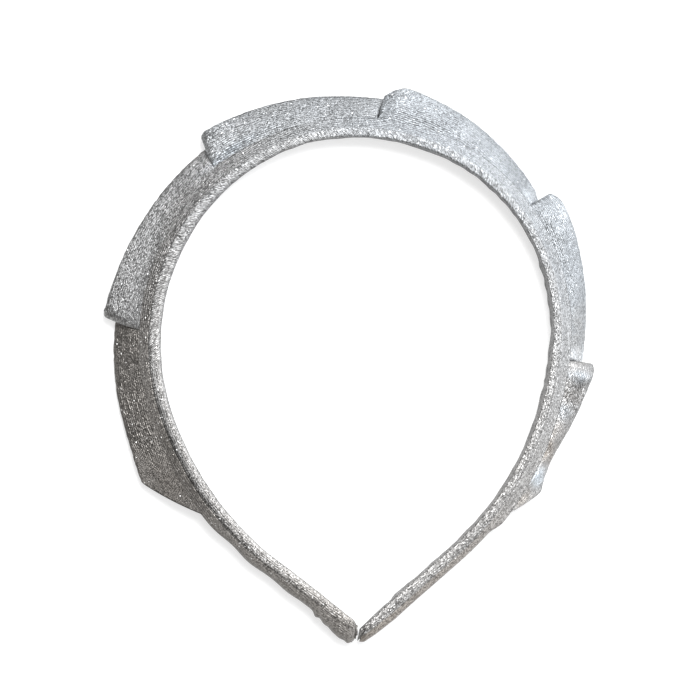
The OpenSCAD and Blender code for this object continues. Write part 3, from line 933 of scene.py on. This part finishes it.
# place along the hoop, level, warmth and contrast of its colour; the levels and warmths are painted light,
# shade and tint of reflected light
LAP_SHADE = np.array([
    [-1.00, 0.62, 0.12, 0.9],
    [-0.90, 0.58, 0.11, 0.9],
    [-0.76, 0.54, 0.10, 0.9],
    [-0.68, 0.44, 0.12, 0.9],
    [-0.60, 0.42, 0.12, 1.0],
    [-0.48, 0.43, 0.10, 1.0],
    [-0.40, 0.38, 0.06, 1.1],
    [-0.33, 0.35, 0.05, 1.1],
    [-0.28, 0.31, 0.03, 1.1],
    [-0.20, 0.32, 0.02, 1.0],
    [-0.10, 0.39, -0.02, 1.0],
    [0.00, 0.45, -0.06, 1.0],
    [0.08, 0.55, -0.08, 0.9],
    [0.15, 0.63, -0.08, 0.9],
    [0.40, 0.77, -0.04, 0.9],
    [0.52, 0.84, 0.02, 1.0],
    [0.72, 0.84, 0.06, 1.0],
    [0.80, 0.72, 0.14, 1.0],
    [1.00, 0.64, 0.20, 0.9],
])
# factors of its colour and contrast beside a wide roll, at its inner side, where painted light makes it
# lighter, and at its outer side
NEAR_ROLL = np.array([1.2, 1.2, 1.2, 1.3])
FAR_FROM_ROLL = np.array([1.0, 1.0, 1.0, 0.7])
WIDE_ROLL = 0.8  # outer shoulder of a roll that counts as wide
CROWN_FROM = -0.80  # place along the hoop where the crown's root begins under the lapped edge
CROWN_TO = 0.775
LANDING_PAST = 0.12  # how far past the ridge the lapped edge lands
LANDING_DEEP = 0.04  # in the cloth
LANDING_POWER = 1.3  # of its hollow curve
HIGHEST_WITHIN = 0.6  # to each side along the hoop
HIGHEST_SMOOTH = 7  # neighbours averaged


def beside_crown(along):
    """1 where the crown's root runs under the lapped edge, 0 on the bare arms."""
    share = share_of(along)
    return ease((share - CROWN_FROM) / 0.06) * ease((CROWN_TO - share) / 0.03)


def highest(along, place, up):
    """Height of the highest points within a short way of each length along the hoop, smoothed."""
    top = np.where(np.abs(along[:, None] - place) < HIGHEST_WITHIN, up, 0).max(1)
    found = top > 0
    top = np.interp(along, along[found], top[found])
    ends = np.pad(top, HIGHEST_SMOOTH // 2, "edge")
    return np.convolve(ends, np.full(HIGHEST_SMOOTH, 1 / HIGHEST_SMOOTH), "valid")


def onto_crown(start, ridge, on, past):
    """Outer half of the outline beside the crown: it falls in a hollow curve, its height as a power of the
    way left, from its start to just inside the cloth beyond the ridge, turns under it and comes back low.
    The crown's heights on the ridge and past it are given."""
    landing = np.stack([ridge + LANDING_PAST, mix(on, past, 0.4) - LANDING_DEEP], -1)[:, None]
    t = np.array([0.25, 0.5, 0.75, 1.0])[:, None]
    out = mix(start[..., :1], landing[..., :1], t)
    up = landing[..., 1:] + (start - landing)[..., 1:] * (1 - t) ** LANDING_POWER
    inside = [np.stack([ridge + 0.2, past - 0.30], -1), np.stack([ridge - 0.3, on - 0.5], -1)]
    low = np.broadcast_to(LOW_OUTLINE, (len(ridge), *LOW_OUTLINE.shape))
    return np.concatenate([np.concatenate([out, up], -1), np.stack(inside, 1), low], 1)


def lap_rings(count, ridges):
    """The lapped edge's outline carried along the hoop, a little uneven. Its first half is blended between
    its two forms, and its outer half between the bare arms' and the one that lands on the crown, whose
    points on the ridge and past it are given. Its colour follows the painted light and shade of LAP_SHADE,
    and beside a wide roll painted light makes it lighter and livelier at its inner side, and it is calmer
    at its outer one."""
    along = np.linspace(-HALF_LEFT, HALF_RIGHT, count)
    wide = (table_at(SWELL, share_of(along), OUTER_SHOULDER) / WIDE_ROLL)[:, None, None]
    near = mix(LAP_OUTLINE[None, :, 2:], LAP_OUTLINE[None, :, :2], wide)
    places, heights = ridges
    on, past = (highest(along, places[:, c], heights[:, c]) for c in (0, 1))
    ridge = CROWN_ROOT + ROOT_EDGE + table_at(RISE, share_of(along))
    landed = onto_crown(near[:, -1:], ridge, on, past)
    far = mix(BARE_OUTLINE[None], landed, beside_crown(along)[:, None, None])
    for at, _, long, size in NUBS:
        far[..., 0] += size * bell((along[:, None] - at) / long)
    u = np.broadcast_to(along[:, None], (count, near.shape[1] + far.shape[1]))
    out, up = np.moveaxis(np.concatenate([near, far], 1), -1, 0)
    rough = 0.04 * soft_noise(u, out + up, 0.9, 34) + 0.05 * soft_noise(u, 0 * u, 5.0, 31)
    rough = rough * np.clip((out - 3.2) / 1.0, 0.2, 1) * np.clip((ridge[:, None] - out) / 0.8, 0.1, 1)
    outward = np.clip((out - 4.0) / 1.2, 0, 1)[..., None]
    # Painted light and shade along the hoop, and painted light at the inner side beside a wide roll
    shade = shades(share_of(u), LAP_SHADE) * mix(1, mix(NEAR_ROLL, FAR_FROM_ROLL, outward), wide)
    return banded(u, out, up + rough), along, 0, shade


# The three pieces

band_cloth = glitter_knit("band_knit", grey(0.24), grey(0.66), turned=((-105, 62),), rough=0.48,
                          speck=0.66)
lap_cloth = glitter_knit("lap_knit", grey(0.21), grey(0.55), tilt=0.3)
crown_cloth = glitter_knit("crown_knit", grey(0.21), grey(0.55), line=0.15)

band = ring_mesh("knit_band", *band_rings(1360, 62), "band_knit", band_cloth)
crown_form, crown_ridges = crown_rings(0.42, 34)
crown = ring_mesh("knit_crown", *crown_form, "crown_knit", crown_cloth, 0.95)
lap = ring_mesh("knit_lap", *lap_rings(1000, crown_ridges), "lap_knit", lap_cloth)
for piece, node in ((band, "band"), (lap, "cover_lap"), (crown, "crown")):
    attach(piece, "root")
    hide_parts(node)

# Floor, light and camera


def floor_piece():
    """A wide square at the height the object rests on."""
    mesh = bpy.data.meshes.new("floor")
    mesh.from_pydata([(-3, -3, 0), (3, -3, 0), (3, 3, 0), (-3, 3, 0)], [], [(0, 1, 2, 3)])
    obj = bpy.data.objects.new("floor", mesh)
    bpy.context.scene.collection.objects.link(obj)
    f = Finish("white_floor")
    shader = f.node("ShaderNodeBsdfPrincipled", None, Base_Color=grey(0.45), Roughness=1.0,
                    Emission_Color=grey(1.0), Emission_Strength=0.60)
    f.node("ShaderNodeOutputMaterial", None, Surface=f.out(shader))
    obj.data.materials.append(f.material)


def stood_at(obj, right, up, back, place):
    """An object put into the scene at a place, its three axes along the given directions."""
    bpy.context.scene.collection.objects.link(obj)
    obj.matrix_world = Matrix([*np.column_stack([right, up, back, place]).tolist(), [0, 0, 0, 1]])


def softbox(name, place, target, size, watts):
    """A square lamp at a place, facing a target."""
    lamp = bpy.data.lights.new(name, "AREA")
    lamp.shape = "SQUARE"
    lamp.size = size
    lamp.energy = watts
    place = np.array(place, float)
    back = place - target
    back /= np.linalg.norm(back)
    right = np.cross((0, 0, 1), back)
    right /= np.linalg.norm(right)
    stood_at(bpy.data.objects.new(name, lamp), right, np.cross(back, right), back, place)


SKY_LOW = 0.42  # strength at the lower left
SKY_RISE = 2.3  # what the upper right has above that
SKY_WARM = (1.0, 0.965, 0.92, 1)
SKY_COOL = (0.94, 0.985, 1.04, 1)


def studio_sky():
    """World light: a bright cool side at the upper right that fades with the square of the place towards a
    dim warm side at the lower left."""
    world = bpy.data.worlds.new("studio")
    bpy.context.scene.world = world
    world.use_nodes = True
    tree = world.node_tree
    tree.nodes.clear()
    way = tree.nodes.new("ShaderNodeTexCoord")
    parts = tree.nodes.new("ShaderNodeSeparateXYZ")
    tree.links.new(way.outputs["Generated"], parts.inputs[0])
    x, y = Socket(tree, parts.outputs[0]), Socket(tree, parts.outputs[1])
    place = (x * 0.7 + y * 0.7) * 0.5 + 0.5
    level = place ** 2.0 * SKY_RISE + SKY_LOW
    tone = tree.nodes.new("ShaderNodeMix")
    tone.data_type = "RGBA"
    tree.links.new(place.socket, tone.inputs[0])
    tone.inputs[6].default_value = SKY_WARM
    tone.inputs[7].default_value = SKY_COOL
    ground = tree.nodes.new("ShaderNodeBackground")
    tree.links.new(level.socket, ground.inputs["Strength"])
    tree.links.new(tone.outputs[2], ground.inputs["Color"])
    result = tree.nodes.new("ShaderNodeOutputWorld")
    tree.links.new(ground.outputs[0], result.inputs[0])


CAMERA_FAR = 0.7  # metres from the target
CAMERA_TARGET = np.array([-0.001080, 0.004313, 0.0])
CAMERA_TURN = (12.5, 2.0, -0.61)  # degrees towards the left arm, towards the tips, and about its own axis
VIEW_WIDTH = 0.3122 * 0.7  # metres: 0.3122 mm for each of the picture's 700 pixels
SENSOR_WIDTH = 36.0


def photo_camera():
    """The photograph's camera."""
    tilt, dip, roll = np.radians(CAMERA_TURN)
    back = np.array([-np.sin(tilt) * np.cos(dip), -np.sin(dip), np.cos(tilt) * np.cos(dip)])
    right = np.cross(-back, (0, 1, 0))
    right /= np.linalg.norm(right)
    up = np.cross(right, -back)
    right, up = right * np.cos(roll) + up * np.sin(roll), -right * np.sin(roll) + up * np.cos(roll)
    data = bpy.data.cameras.new("camera")
    data.sensor_width = SENSOR_WIDTH
    data.lens = SENSOR_WIDTH * CAMERA_FAR / VIEW_WIDTH
    data.clip_start = 0.01
    obj = bpy.data.objects.new("camera", data)
    stood_at(obj, right, up, back, CAMERA_TARGET + CAMERA_FAR * back)
    bpy.context.scene.camera = obj


floor_piece()
studio_sky()
softbox("key", (0.10, 0.62, 1.00), (0, 0, 0), 0.60, 17)
softbox("side", (0.80, 0.60, 1.00), (0, 0, 0), 0.55, 3)
photo_camera()
bpy.context.scene.view_settings.view_transform = "Standard"
